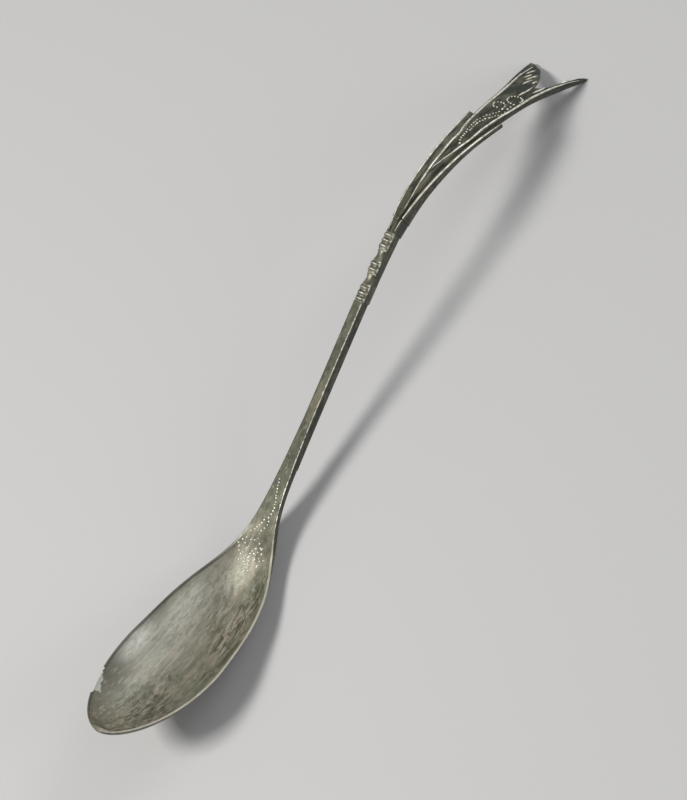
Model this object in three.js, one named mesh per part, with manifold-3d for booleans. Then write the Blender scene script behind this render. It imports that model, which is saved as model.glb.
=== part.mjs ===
// A long-handled metal spoon with a leaf-shaped bowl, a moulded collar and a forked leaf finial.
// Millimetres, +X from the bowl to the finial, +Y to the spoon's left, +Z up, lying at rest on Z = 0.
import * as THREE from 'three';
import { mergeVertices } from 'three/addons/utils/BufferGeometryUtils.js';
import Module from 'manifold-3d';

const wasm = await Module();
wasm.setup();

// Driving dimensions of the top line, which runs from the bowl's tip to the end of the finial.
// Each run is an arc: its length, and the slope in degrees that it ends at, from the rim's own level.
const TIP_SLOPE = -11;
const RIM_RUN = 57;
const SHOULDER_SLOPE = 8;
const NECK_RUN = 15;
const NECK_SLOPE = 47;
const EASE_RUN = 14;
const STEM_SLOPE = 40;
const STEM_RUN = 49;
const COLLAR_SLOPE = 32.5;
const RISE_RUN = 15;
const RISE_SLOPE = 8.5;
const CROWN_RUN = 21;
const CROWN_SLOPE = -7.5;
const FALL_RUN = 46;
const FALL_SLOPE = -22.5;

// Bowl and neck.
const BOWL_WIDTH = 27.4;
const WIDEST_AT = 32;
const BOWL_DEPTH = 8.8;
const DEEPEST_AT = 38;
const TIP_BLUNTNESS = 0.2;
const RIM_WIDTH = 0.6;
const FLOOR_THICKNESS = 1.1;
const HOLLOW_MARGIN = 1.5;
const HOLLOW_LENGTH = 71;
const NECK_THICKNESS = 3.3;
const NECK_JOINT_BACK = 4;

// Stem and its tongue.
const STEM_WIDTH = 2.4;
const STEM_THICKNESS = 4.2;
const PLAIN_STEM_BACK = 31;
const STEM_TOP_EDGE = 0.1;
const STEM_KEEL_CHAMFER = 0.5;
const TONGUE_LENGTH = 6;
const TONGUE_WIDTH = 1.1;
const TONGUE_HEIGHT = 1.5;
const TONGUE_ROOT = 1;

// Collar mouldings.
const COLLAR_WIDTH = 2.8;
const COLLAR_THICKNESS = 4.5;
const COLLAR_FLARE = 0.15;
const RIDGE_PITCH = 1.5;
const RIDGE_HEIGHT = 0.3;
const RIDGE_SIDE = 0.2;
const REEL_LENGTH = 2.9;
const REEL_WAIST = 0.45;
const REEL_DIP = 0.25;
const SPIGOT_LENGTH = 0.8;
const SPIGOT_WIDTH = 0.8;
const SPIGOT_HEIGHT = 1.8;

// Finial.
const CALYX_LENGTH = 4;
const CALYX_TOP_WIDTH = 2.2;
const CALYX_FLARE = 0.35;
const SEPAL_LENGTH = 41.4;
const SEPAL_ROOT_WIDTH = 0.35;
const SEPAL_TIP_WIDTH = 1.1;
const SEPAL_SWELL_WIDTH = 0.45;
const SEPAL_FLARE = 0.25;
const SEPAL_CHAMFER = 0.2;
const SEPAL_FALL = 0.3;
const LEAF_ROOT_WIDTH = 1.2;
const LEAF_ROOT_OVERLAP = 0.5;
const LEAF_END_WIDTH = 16.6;
const RIB_HEIGHT = 0.35;
const RIB_ROOT_PLACE = 0.15;
const RIB_PARTING_PLACE = 0.25;
const FIELD_FULL_AT_RIB = 1.2;
const LEAF_EDGE_DROP = 0.12;
const FORK_DEPTH = 15;
const LEFT_LOBE_SHORTER = 1.6;
const FORK_TWIST = 4;
const LEAF_THICKNESS = 1.5;
const LEAF_END_THICKNESS = 1.2;
const FORK_OVERRUN = 1;

// Fits.
const SOLDER_GAP = 0.3;
const WORN_FLAT_DEPTH = 0.3;

// Fineness of the faceted forms.
const BOWL_SIDES = 14;
const TIP_STEPS = 9;
const STATION_STEP = 3;
const LEAF_STEP = 2.4;
const FORK_STEP = 1.5;

const radians = THREE.MathUtils.degToRad;

// Smooth curve through [place, value] pairs.
function profile(points) {
  const slope = (i) => {
    const before = points[Math.max(i - 1, 0)];
    const after = points[Math.min(i + 1, points.length - 1)];
    return (after[1] - before[1]) / (after[0] - before[0]);
  };
  return (place) => {
    if (place <= points[0][0]) return points[0][1];
    if (place >= points[points.length - 1][0]) return points[points.length - 1][1];
    const i = points.findIndex((point) => point[0] > place) - 1;
    const span = points[i + 1][0] - points[i][0];
    const t = (place - points[i][0]) / span;
    const keepStart = (1 + 2 * t) * (1 - t) ** 2;
    const keepEnd = t * t * (3 - 2 * t);
    const leave = t * (1 - t) ** 2 * span * slope(i);
    const arrive = t * t * (t - 1) * span * slope(i + 1);
    return keepStart * points[i][1] + keepEnd * points[i + 1][1] + leave + arrive;
  };
}

// Places along the top line that follow from the runs.
const threeRidges = 3 * RIDGE_PITCH;
const twoRidges = 2 * RIDGE_PITCH;
const collarRun = 2 * threeRidges + twoRidges + 2 * REEL_LENGTH + 4 * SOLDER_GAP;
const neckEnd = RIM_RUN + NECK_RUN + EASE_RUN + NECK_JOINT_BACK;
const collarStart = RIM_RUN + NECK_RUN + EASE_RUN + STEM_RUN + SOLDER_GAP;
const finialStart = collarStart + collarRun + SOLDER_GAP;
const lineRuns = [
  [RIM_RUN, SHOULDER_SLOPE],
  [NECK_RUN, NECK_SLOPE],
  [EASE_RUN, STEM_SLOPE],
  [STEM_RUN + SOLDER_GAP, STEM_SLOPE],
  [collarRun + SOLDER_GAP, COLLAR_SLOPE],
  [RISE_RUN, RISE_SLOPE],
  [CROWN_RUN, CROWN_SLOPE],
  [FALL_RUN, FALL_SLOPE],
];
const finialLength = RISE_RUN + CROWN_RUN + FALL_RUN;

// Place and slope of the top line at a distance from the tip: a chain of arcs, each tangent to the last.
function topLine(distance) {
  let x = 0;
  let z = 0;
  let left = distance;
  let start = radians(TIP_SLOPE);
  for (const [length, endSlope] of lineRuns) {
    const end = radians(endSlope);
    const part = Math.min(left, length);
    const turned = start + (end - start) * (part / length);
    const middle = (start + turned) / 2;
    const half = (turned - start) / 2;
    const chord = Math.abs(half) < 1e-9 ? part : (part * Math.sin(half)) / half;
    x += chord * Math.cos(middle);
    z += chord * Math.sin(middle);
    left -= part;
    start = turned;
    if (left <= 0) break;
  }
  x += left * Math.cos(start);
  z += left * Math.sin(start);
  return { x, z, slope: start };
}

// A point beside and above the top line: y to the left, n square to the line and up, turned by a twist.
function placed(distance, y, n, twist = 0) {
  const at = topLine(distance);
  const lift = n - y * Math.sin(twist);
  return new THREE.Vector3(
    at.x - Math.sin(at.slope) * lift,
    y * Math.cos(twist),
    at.z + Math.cos(at.slope) * lift,
  );
}

function solidFrom(positions, triangles) {
  return new wasm.Manifold(new wasm.Mesh({
    numProp: 3,
    vertProperties: Float32Array.from(positions),
    triVerts: Uint32Array.from(triangles),
  }));
}

// A closed body through sections that all have the same number of points, each run round to the left.
function loft(stations, sectionAt, twistAt = () => 0) {
  const sections = stations.map(sectionAt);
  const size = sections[0].length;
  const positions = [];
  const triangles = [];
  stations.forEach((distance, i) => {
    sections[i].forEach((p) => positions.push(...placed(distance, p.x, p.y, twistAt(distance)).toArray()));
  });
  for (let i = 0; i < stations.length - 1; i += 1) {
    for (let j = 0; j < size; j += 1) {
      const near = i * size + j;
      const nearNext = i * size + ((j + 1) % size);
      triangles.push(near, nearNext, nearNext + size, near, nearNext + size, near + size);
    }
  }
  const cap = (section, base, forwards) => {
    for (const face of THREE.ShapeUtils.triangulateShape(section, [])) {
      const area = THREE.ShapeUtils.area(face.map((k) => section[k]));
      const ordered = (area > 0) === forwards ? face : [face[0], face[2], face[1]];
      triangles.push(...ordered.map((k) => base + k));
    }
  };
  cap(sections[0], 0, false);
  cap(sections[sections.length - 1], (stations.length - 1) * size, true);
  return solidFrom(positions, triangles);
}

// A solid from a closed three.js geometry.
function solidOf(geometry) {
  const bare = geometry.clone();
  bare.deleteAttribute('normal');
  bare.deleteAttribute('uv');
  const merged = mergeVertices(bare);
  return solidFrom(merged.attributes.position.array, merged.index.array);
}

// A block along the top line, with its middle at a depth below it.
function block(from, to, width, height, depth) {
  const middle = (from + to) / 2;
  const centre = placed(middle, 0, -depth);
  const geometry = new THREE.BoxGeometry(to - from, width, height);
  geometry.rotateY(-topLine(middle).slope);
  geometry.translate(centre.x, centre.y, centre.z);
  return solidOf(geometry);
}

function steps(from, to, step) {
  const count = Math.max(1, Math.round((to - from) / step));
  return Array.from({ length: count + 1 }, (_, i) => from + ((to - from) * i) / count);
}

// Outline of bowl, neck and stem, as half widths along the top line.
const plainStemAt = RIM_RUN + NECK_RUN + EASE_RUN + STEM_RUN - PLAIN_STEM_BACK;
const swell = BOWL_WIDTH / 2 - STEM_WIDTH / 2;
const reach = plainStemAt - WIDEST_AT;
const rearOutline = profile([
  [WIDEST_AT, BOWL_WIDTH / 2],
  [WIDEST_AT + 0.21 * reach, STEM_WIDTH / 2 + 0.89 * swell],
  [WIDEST_AT + 0.35 * reach, STEM_WIDTH / 2 + 0.7 * swell],
  [WIDEST_AT + 0.47 * reach, STEM_WIDTH / 2 + 0.42 * swell],
  [WIDEST_AT + 0.57 * reach, STEM_WIDTH / 2 + 0.21 * swell],
  [WIDEST_AT + 0.67 * reach, STEM_WIDTH / 2 + 0.1 * swell],
  [WIDEST_AT + 0.81 * reach, STEM_WIDTH / 2 + 0.04 * swell],
  [plainStemAt, STEM_WIDTH / 2],
]);

// The front of the bowl swells from the tip as a slightly pointed oval does.
function oval(distance, length, most, power) {
  const share = Math.min(1, distance / length);
  return most * (1 - (1 - share) ** 2) ** power;
}

const TIP_POWER = 0.56;
const KEEL_POWER = 0.58;
function halfWidth(distance) {
  return distance < WIDEST_AT ? oval(distance, WIDEST_AT, BOWL_WIDTH / 2, TIP_POWER) : rearOutline(distance);
}

const keelBehind = profile([
  [DEEPEST_AT, BOWL_DEPTH],
  [RIM_RUN, 0.76 * BOWL_DEPTH],
  [RIM_RUN + 0.6 * NECK_RUN, 0.54 * BOWL_DEPTH],
  [RIM_RUN + NECK_RUN + 0.2 * EASE_RUN, 1.1 * NECK_THICKNESS],
  [RIM_RUN + NECK_RUN + 0.9 * EASE_RUN, NECK_THICKNESS],
  [plainStemAt, STEM_THICKNESS],
]);
function keelDepth(distance) {
  return distance < DEEPEST_AT ? oval(distance, DEEPEST_AT, BOWL_DEPTH, KEEL_POWER) : keelBehind(distance);
}

const hollowDepth = BOWL_DEPTH - FLOOR_THICKNESS;
const hollowBehind = profile([
  [DEEPEST_AT, hollowDepth],
  [RIM_RUN, 0.7 * hollowDepth],
  [RIM_RUN + 0.5 * (HOLLOW_LENGTH - RIM_RUN), 0.32 * hollowDepth],
  [HOLLOW_LENGTH, 0],
]);
function hollowAt(distance) {
  if (distance <= HOLLOW_MARGIN || distance >= HOLLOW_LENGTH) return 0;
  if (distance >= DEEPEST_AT) return hollowBehind(distance);
  return oval(distance - HOLLOW_MARGIN, DEEPEST_AT - HOLLOW_MARGIN, hollowDepth, KEEL_POWER);
}

// Below the bowl the section is an oval, and along the stem it fills out to a bar.
const OVAL_POWER = 2;
const BAR_POWER = 7;
const sectionPower = profile([[RIM_RUN, OVAL_POWER], [plainStemAt, BAR_POWER]]);
const WALL_LEAN_POWER = 1.4;
const wallLean = profile([[RIM_RUN, WALL_LEAN_POWER], [plainStemAt, 1]]);
function power(value, exponent) {
  return Math.sign(value) * Math.abs(value) ** exponent;
}

function bowlSection(distance) {
  const half = halfWidth(distance);
  const inner = Math.max(half - RIM_WIDTH, 0.6 * half);
  const exponent = 2 / sectionPower(distance);
  const section = [];
  for (let k = 0; k <= BOWL_SIDES; k += 1) {
    const turn = Math.PI + (Math.PI * k) / BOWL_SIDES;
    const y = half * power(Math.cos(turn), exponent);
    const n = keelDepth(distance) * power(Math.sin(turn), exponent * wallLean(distance));
    section.push(new THREE.Vector2(y, n));
  }
  for (let k = 0; k <= BOWL_SIDES; k += 1) {
    const turn = (Math.PI * k) / BOWL_SIDES;
    const n = -hollowAt(distance) * power(Math.sin(turn), WALL_LEAN_POWER);
    section.push(new THREE.Vector2(inner * Math.cos(turn), n));
  }
  return section;
}

function barSection(distance) {
  const half = halfWidth(distance);
  const depth = keelDepth(distance);
  const left = [
    [half - STEM_KEEL_CHAMFER, -depth],
    [half, STEM_KEEL_CHAMFER - depth],
    [half, -STEM_TOP_EDGE],
    [half - STEM_TOP_EDGE, 0],
  ];
  const right = left.map(([y, n]) => [-y, n]).reverse();
  return [...left, ...right].map(([y, n]) => new THREE.Vector2(y, n));
}

// A rounded bar section, used for the mouldings.
const MOULDING_SIDES = 16;
const MOULDING_POWER = 4;
function mouldingSection(topHalf, bottomHalf, top, bottom) {
  const exponent = 2 / MOULDING_POWER;
  return Array.from({ length: MOULDING_SIDES }, (_, k) => {
    const turn = (2 * Math.PI * (k + 0.5)) / MOULDING_SIDES;
    const rise = (1 + power(Math.sin(turn), exponent)) / 2;
    const y = THREE.MathUtils.lerp(bottomHalf, topHalf, rise) * power(Math.cos(turn), exponent);
    const n = THREE.MathUtils.lerp(bottom, top, rise);
    return new THREE.Vector2(y, n);
  });
}

const jointDepth = COLLAR_THICKNESS / 2;
function spigot(at) {
  return block(at - SPIGOT_LENGTH / 2, at + SPIGOT_LENGTH, SPIGOT_WIDTH, SPIGOT_HEIGHT, jointDepth);
}
function socket(at) {
  const wider = 2 * SOLDER_GAP;
  const deep = SPIGOT_LENGTH + SOLDER_GAP;
  return block(at - SPIGOT_LENGTH, at + deep, SPIGOT_WIDTH + wider, SPIGOT_HEIGHT + wider, jointDepth);
}

// A ridged collar or a waisted reel, with a socket where it starts and a spigot where it ends.
const RIDGE_STEPS = 6;
const REEL_STEPS = 10;
const collarTop = COLLAR_WIDTH / 2;
const collarBottom = collarTop + COLLAR_FLARE;
function collar(start, ridges) {
  const end = start + ridges * RIDGE_PITCH;
  const body = loft(steps(start, end, RIDGE_PITCH / RIDGE_STEPS), (distance) => {
    const swell = Math.sin((Math.PI * (distance - start)) / RIDGE_PITCH) ** 2;
    const half = collarTop + RIDGE_SIDE * swell;
    return mouldingSection(half, collarBottom, RIDGE_HEIGHT * swell, -COLLAR_THICKNESS);
  });
  return body.subtract(socket(start)).add(spigot(end));
}
function reel(start) {
  const end = start + REEL_LENGTH;
  const body = loft(steps(start, end, REEL_LENGTH / REEL_STEPS), (distance) => {
    const waist = Math.sin((Math.PI * (distance - start)) / REEL_LENGTH);
    const half = collarTop - REEL_WAIST * waist;
    return mouldingSection(half, collarBottom, -REEL_DIP * waist, -COLLAR_THICKNESS);
  });
  return body.subtract(socket(start)).add(spigot(end));
}

// Bowl with the socket in its neck, and the stem with its tongue.
function makeBowl() {
  const graded = Array.from({ length: TIP_STEPS }, (_, i) => {
    return TIP_BLUNTNESS + (STATION_STEP * 4 - TIP_BLUNTNESS) * (i / TIP_STEPS) ** 2;
  });
  const stations = [...graded, ...steps(STATION_STEP * 4, neckEnd, STATION_STEP)];
  const pocket = block(
    neckEnd - TONGUE_LENGTH - SOLDER_GAP,
    neckEnd + SOLDER_GAP,
    TONGUE_WIDTH + 2 * SOLDER_GAP,
    TONGUE_HEIGHT + 2 * SOLDER_GAP,
    NECK_THICKNESS / 2,
  );
  return loft(stations, bowlSection).subtract(pocket);
}
function makeStem() {
  const start = neckEnd + SOLDER_GAP;
  const end = collarStart - SOLDER_GAP;
  const root = start + TONGUE_ROOT;
  const tongue = block(neckEnd - TONGUE_LENGTH, root, TONGUE_WIDTH, TONGUE_HEIGHT, NECK_THICKNESS / 2);
  return loft(steps(start, end, 2 * STATION_STEP), barSection).add(tongue).add(spigot(end));
}

// Finial: distances from its start.
const sepalTip = CALYX_LENGTH + SEPAL_LENGTH;
const beyond = finialLength - sepalTip;
const leafEnd = LEAF_END_WIDTH / 2;
const calyxHalf = profile([
  [0, CALYX_TOP_WIDTH / 2],
  [CALYX_LENGTH, 1.25 * (CALYX_TOP_WIDTH / 2)],
]);
const leafHalf = profile([
  [CALYX_LENGTH, LEAF_ROOT_WIDTH / 2],
  [CALYX_LENGTH + 0.61 * SEPAL_LENGTH, 0.27 * leafEnd],
  [sepalTip, 0.435 * leafEnd],
  [sepalTip + 0.4 * beyond, 0.57 * leafEnd],
  [sepalTip + 0.74 * beyond, 0.83 * leafEnd],
  [finialLength, leafEnd],
]);
const ribPlace = profile([
  [0, RIB_ROOT_PLACE],
  [CALYX_LENGTH + 0.39 * SEPAL_LENGTH, RIB_PARTING_PLACE],
  [CALYX_LENGTH + 0.76 * SEPAL_LENGTH, 0.22 * leafEnd],
  [sepalTip, 0.34 * leafEnd],
  [sepalTip + 0.4 * beyond, 0.47 * leafEnd],
  [finialLength, 0.86 * leafEnd],
]);
const leafThickness = profile([
  [0, COLLAR_THICKNESS],
  [0.7 * CALYX_LENGTH, 1.04 * COLLAR_THICKNESS],
  [CALYX_LENGTH + 0.29 * SEPAL_LENGTH, 0.65 * COLLAR_THICKNESS],
  [CALYX_LENGTH + 0.65 * SEPAL_LENGTH, 1.2 * LEAF_THICKNESS],
  [sepalTip, LEAF_THICKNESS],
  [finialLength, LEAF_END_THICKNESS],
]);
function finialTwist(distance) {
  const along = THREE.MathUtils.clamp((distance - finialStart - sepalTip) / beyond, 0, 1);
  return radians(FORK_TWIST) * along;
}

// Two ribs stand above a shallow field, with a groove outside each and a chamfered back.
function leafSection(half, distance, flare = 0) {
  const rib = Math.min(ribPlace(distance - finialStart), 0.85 * half);
  const back = leafThickness(distance - finialStart);
  const field = -RIB_HEIGHT * THREE.MathUtils.smoothstep(rib, RIB_ROOT_PLACE, FIELD_FULL_AT_RIB);
  const chamfer = 0.2 * Math.min(half, back);
  const left = [
    [half + flare - chamfer, -back],
    [half + flare, chamfer - back],
    [half, -LEAF_EDGE_DROP],
    [(half + rib) / 2, -RIB_HEIGHT],
    [rib, 0],
    [0.8 * rib, field],
  ];
  const right = left.map(([y, n]) => [-y, n]).reverse();
  return [...left, [0, field], ...right].map(([y, n]) => new THREE.Vector2(y, n));
}

// The open fork between the lobes, as left and right edges at distances short of the finial's end.
const leftLobeEdge = profile([
  [-FORK_DEPTH, -0.11 * leafEnd],
  [-0.66 * FORK_DEPTH, 0.06 * leafEnd],
  [-0.36 * FORK_DEPTH, 0.32 * leafEnd],
  [-0.16 * FORK_DEPTH, 0.62 * leafEnd],
  [-LEFT_LOBE_SHORTER, 0.92 * leafEnd],
  [0, 1.3 * leafEnd],
]);
const rightLobeEdge = profile([
  [-FORK_DEPTH, -0.145 * leafEnd],
  [-0.85 * FORK_DEPTH, -0.4 * leafEnd],
  [-0.5 * FORK_DEPTH, -0.56 * leafEnd],
  [-0.1 * FORK_DEPTH, -0.84 * leafEnd],
  [0, -0.92 * leafEnd],
]);
const FORK_CLEAR = 3;
function forkCutter() {
  const end = finialStart + finialLength;
  return loft(steps(end - FORK_DEPTH, end + FORK_OVERRUN, FORK_STEP), (distance) => {
    const left = leftLobeEdge(distance - end);
    const right = rightLobeEdge(distance - end);
    return [[right, -FORK_CLEAR], [left, -FORK_CLEAR], [left, FORK_CLEAR], [right, FORK_CLEAR]]
      .map(([y, n]) => new THREE.Vector2(y, n));
  }, finialTwist);
}

function makeLeaf() {
  const shoulder = finialStart + CALYX_LENGTH;
  const end = finialStart + finialLength;
  const calyx = loft(steps(finialStart, shoulder, STATION_STEP), (distance) => {
    return leafSection(calyxHalf(distance - finialStart), distance, CALYX_FLARE);
  });
  const leaf = loft(steps(shoulder - LEAF_ROOT_OVERLAP, end, LEAF_STEP), (distance) => {
    return leafSection(leafHalf(distance - finialStart), distance);
  }, finialTwist);
  return calyx.add(leaf).subtract(forkCutter()).subtract(socket(finialStart));
}

// A sepal lies in the step beside the leaf, from the calyx's shoulder to its own pointed tip.
function makeSepal(side) {
  const from = finialStart + CALYX_LENGTH + SOLDER_GAP;
  const to = finialStart + sepalTip;
  return loft(steps(from, to, STATION_STEP), (distance) => {
    const along = (distance - from) / (to - from);
    const back = leafThickness(distance - finialStart) * THREE.MathUtils.lerp(1, 0.7, along);
    const inner = leafHalf(distance - finialStart) + SOLDER_GAP;
    const fullness = SEPAL_SWELL_WIDTH * Math.sin(Math.PI * THREE.MathUtils.lerp(0.25, 1, along));
    const outer = inner + THREE.MathUtils.lerp(SEPAL_ROOT_WIDTH, SEPAL_TIP_WIDTH, along) + fullness;
    const section = [
      [inner, -back],
      [outer + SEPAL_FLARE - SEPAL_CHAMFER, -back],
      [outer + SEPAL_FLARE, SEPAL_CHAMFER - back],
      [outer, 0],
      [inner, -SEPAL_FALL],
    ];
    const points = section.map(([y, n]) => new THREE.Vector2(side * y, n));
    return side > 0 ? points : points.reverse();
  });
}

// Mouldings in order up the handle.
const lowerReelAt = collarStart + threeRidges + SOLDER_GAP;
const middleCollarAt = lowerReelAt + REEL_LENGTH + SOLDER_GAP;
const upperReelAt = middleCollarAt + twoRidges + SOLDER_GAP;
const upperCollarAt = upperReelAt + REEL_LENGTH + SOLDER_GAP;

const pieces = {
  bowl: makeBowl(),
  stem: makeStem(),
  lower_collar: collar(collarStart, 3),
  lower_reel: reel(lowerReelAt),
  middle_collar: collar(middleCollarAt, 2),
  upper_reel: reel(upperReelAt),
  upper_collar: collar(upperCollarAt, 3),
  finial_leaf: makeLeaf(),
  left_sepal: makeSepal(1),
  right_sepal: makeSepal(-1),
};

// At rest the spoon tips back until the keel and the leaf's ends touch down together.
function lowest(solid, pitch) {
  const { vertProperties } = solid.getMesh();
  let best = { z: Infinity, x: 0 };
  for (let i = 0; i < vertProperties.length; i += 3) {
    const x = vertProperties[i] * Math.cos(pitch) + vertProperties[i + 2] * Math.sin(pitch);
    const z = vertProperties[i + 2] * Math.cos(pitch) - vertProperties[i] * Math.sin(pitch);
    if (z < best.z) best = { x, z };
  }
  return best;
}
function restPitch() {
  let low = 0;
  let high = Math.PI / 3;
  for (let i = 0; i < 50; i += 1) {
    const pitch = (low + high) / 2;
    if (lowest(pieces.finial_leaf, pitch).z > lowest(pieces.bowl, pitch).z) low = pitch;
    else high = pitch;
  }
  return (low + high) / 2;
}
const pitch = restPitch();
const contact = lowest(pieces.bowl, pitch);
const toRest = new THREE.Matrix4()
  .makeTranslation(-contact.x, 0, -contact.z - WORN_FLAT_DEPTH)
  .multiply(new THREE.Matrix4().makeRotationY(pitch));

// Where the keel and the lobes touch down they are worn flat.
const WORN_BLOCK = 600;
const ground = new THREE.BoxGeometry(WORN_BLOCK, WORN_BLOCK, WORN_BLOCK);
ground.translate(0, 0, -WORN_BLOCK / 2);
const groundSolid = solidOf(ground);

function meshOf(name, solid, finish) {
  const worn = solid.transform(toRest.toArray()).subtract(groundSolid);
  const { vertProperties, triVerts } = worn.getMesh();
  const geometry = new THREE.BufferGeometry();
  geometry.setAttribute('position', new THREE.BufferAttribute(Float32Array.from(vertProperties), 3));
  geometry.setIndex(new THREE.BufferAttribute(Uint32Array.from(triVerts), 1));
  geometry.computeVertexNormals();
  const mesh = new THREE.Mesh(geometry, new THREE.MeshStandardMaterial(finish));
  mesh.name = name;
  return mesh;
}

const greySilver = { color: 0x96948a, roughness: 0.45, metalness: 0.9 };
const darkSilver = { color: 0x5d5b4c, roughness: 0.5, metalness: 0.85 };
const finishes = { bowl: greySilver, stem: greySilver };

const spoon = new THREE.Group();
for (const [name, solid] of Object.entries(pieces)) {
  spoon.add(meshOf(name, solid, finishes[name] ?? darkSilver));
}

export default spoon;
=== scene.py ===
# %% [markdown]
# # A long-handled silver spoon
# The spoon is a small old silver implement: an oval bowl, a slender bar for a stem, a collar of fine
# ridges and a forked leaf at the end. Its solids come from the CAD frame at their real size. This
# script dresses them: each solid is copied, rounded and given the look of silver that has darkened
# with age and been rubbed bright on its ridges.

# %% Load the frame
import math

import bpy
import numpy as np
from mathutils import Matrix, Vector
from mathutils.bvhtree import BVHTree


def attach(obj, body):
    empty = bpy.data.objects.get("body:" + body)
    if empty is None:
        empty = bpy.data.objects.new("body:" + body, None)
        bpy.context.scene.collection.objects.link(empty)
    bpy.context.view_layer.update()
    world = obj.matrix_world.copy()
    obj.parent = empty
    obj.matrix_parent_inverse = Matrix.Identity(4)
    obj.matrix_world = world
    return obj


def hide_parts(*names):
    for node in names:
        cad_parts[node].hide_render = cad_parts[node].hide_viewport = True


MM = 0.001
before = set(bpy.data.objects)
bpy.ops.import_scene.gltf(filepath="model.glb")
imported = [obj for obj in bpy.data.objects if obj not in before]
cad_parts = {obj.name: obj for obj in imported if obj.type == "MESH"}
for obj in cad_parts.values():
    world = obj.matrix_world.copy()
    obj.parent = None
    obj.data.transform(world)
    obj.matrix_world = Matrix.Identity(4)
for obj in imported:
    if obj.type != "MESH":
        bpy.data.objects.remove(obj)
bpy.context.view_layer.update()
print("CAD nodes:", len(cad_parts))

# %% [markdown]
# ## Camera
# The photograph looks down on the spoon with the handle's end propped up off the table. Here the spoon
# lies as it would by itself, so the camera tips with it: seen from the spoon, the viewpoint is the same.
# A long lens from about a metre keeps the outline as flat as the photograph's.

# %% Camera at the photograph's viewing angle
camera_data = bpy.data.cameras.new("photo_camera")
camera_data.sensor_fit = "VERTICAL"
camera_data.sensor_height = 24
camera_data.lens = 12 / math.tan(math.radians(5.5))
camera_data.clip_end = 50
camera = bpy.data.objects.new("photo_camera", camera_data)
bpy.context.scene.collection.objects.link(camera)
camera_right = Vector((0.50501, -0.82413, -0.25648))
camera_up = Vector((0.82381, 0.3716, 0.42808))
camera_back = camera_right.cross(camera_up)
turn = Matrix((camera_right, camera_up, camera_back)).transposed().to_4x4()
camera.matrix_world = Matrix.Translation(Vector((-218.34, -450.73, 920.95)) * MM) @ turn
bpy.context.scene.camera = camera
print("camera looks along", [round(v, 3) for v in -camera_back])

# %% [markdown]
# ## Small helpers
# Colours are written as sRGB hex, as read off a screen, and turned to the linear values that shaders
# use. One function adds a shader node with its settings and links.

# %% Colour and node helpers
def linear(hex_colour):
    """Linear RGBA of an sRGB hex colour."""
    channels = [int(hex_colour[i:i + 2], 16) / 255 for i in (1, 3, 5)]
    bent = [c / 12.92 if c <= 0.04045 else ((c + 0.055) / 1.055) ** 2.4 for c in channels]
    return (*bent, 1.0)


def add_node(tree, kind, inputs=None, **settings):
    """Adds a node; each input is a value, or a socket to link from."""
    made = tree.nodes.new(kind)
    for name, value in settings.items():
        setattr(made, name, value)
    for socket, source in (inputs or {}).items():
        if isinstance(source, bpy.types.NodeSocket):
            tree.links.new(source, made.inputs[socket])
        else:
            made.inputs[socket].default_value = source
    return made


def new_material(name):
    """A material with an empty Principled surface; returns it, its tree and the shader."""
    material = bpy.data.materials.new(name)
    material.use_nodes = True
    tree = material.node_tree
    return material, tree, tree.nodes["Principled BSDF"]


print("grey 50% is", [round(c, 3) for c in linear("#808080")])

# %% [markdown]
# ## Table and light
# A plain pale table top and one soft lamp above and a little behind the spoon's left side, which throws
# the shadow to the right as in the photograph. Two weaker lamps stand low, one behind the handle for the
# finial's ribs and one to the right for the pale sheen on the bowl's left wall. The grey surround fills
# the shadows.

# %% Table
bpy.ops.object.select_all(action="DESELECT")
bpy.ops.mesh.primitive_circle_add(vertices=96, radius=4, fill_type="NGON", location=(0, 0, 0))
table = bpy.context.active_object
table.name = "table"
table_paper, tree, shader = new_material("pale grey paper")
grain_place = add_node(tree, "ShaderNodeTexCoord").outputs["Object"]
grain = add_node(tree, "ShaderNodeTexNoise", {"Vector": grain_place, "Scale": 1 / (0.6 * MM),
                                              "Detail": 3.0}).outputs["Fac"]
grain_bump = add_node(tree, "ShaderNodeBump", {"Height": grain, "Strength": 0.05, "Distance": 0.1 * MM})
tree.links.new(grain_bump.outputs["Normal"], shader.inputs["Normal"])
shader.inputs["Base Color"].default_value = linear("#C9C9C9")
shader.inputs["Roughness"].default_value = 0.85
shader.inputs["Specular IOR Level"].default_value = 0.2
table.data.materials.append(table_paper)
print("table radius", 4, "m")


# %% Lamps and surround
def soft_lamp(name, direction, distance, size, watts, colour):
    """A square lamp at a distance along a direction, facing the spoon."""
    data = bpy.data.lights.new(name, "AREA")
    data.size = size
    data.energy = watts
    data.color = linear(colour)[:3]
    lamp = bpy.data.objects.new(name, data)
    towards = Vector(direction).normalized()
    lamp.location = Vector((0.0, 0, 0.01)) + towards * distance
    lamp.rotation_euler = towards.to_track_quat("Z", "Y").to_euler()
    bpy.context.scene.collection.objects.link(lamp)
    return lamp


soft_lamp("overhead softbox", (-0.42, 0.26, 0.87), 1.0, 0.22, 7.9, "#FFFDF9")
soft_lamp("low back softbox", (0.88, -0.20, 0.45), 1.4, 0.6, 4.8, "#FBFCFF")
soft_lamp("right fill", (0.35, -0.85, 0.40), 1.5, 0.8, 4.0, "#FFFFFF")
world = bpy.data.worlds.new("grey surround")
world.use_nodes = True
world.node_tree.nodes["Background"].inputs["Color"].default_value = linear("#B9B9BB")
world.node_tree.nodes["Background"].inputs["Strength"].default_value = 0.42
bpy.context.scene.world = world
bpy.context.scene.view_settings.view_transform = "Standard"

# %% [markdown]
# ## The spoon's top line
# Everything on the spoon follows one line, from the bowl's tip along the rim, the stem and the collar
# to the finial. It is a chain of arcs, each starting at the slope where the last one ended, and the
# whole line is tipped to the angle at which the spoon rests. Points are then given as the distance
# along the line, the distance to the left and the height above it, all in millimetres.

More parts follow.
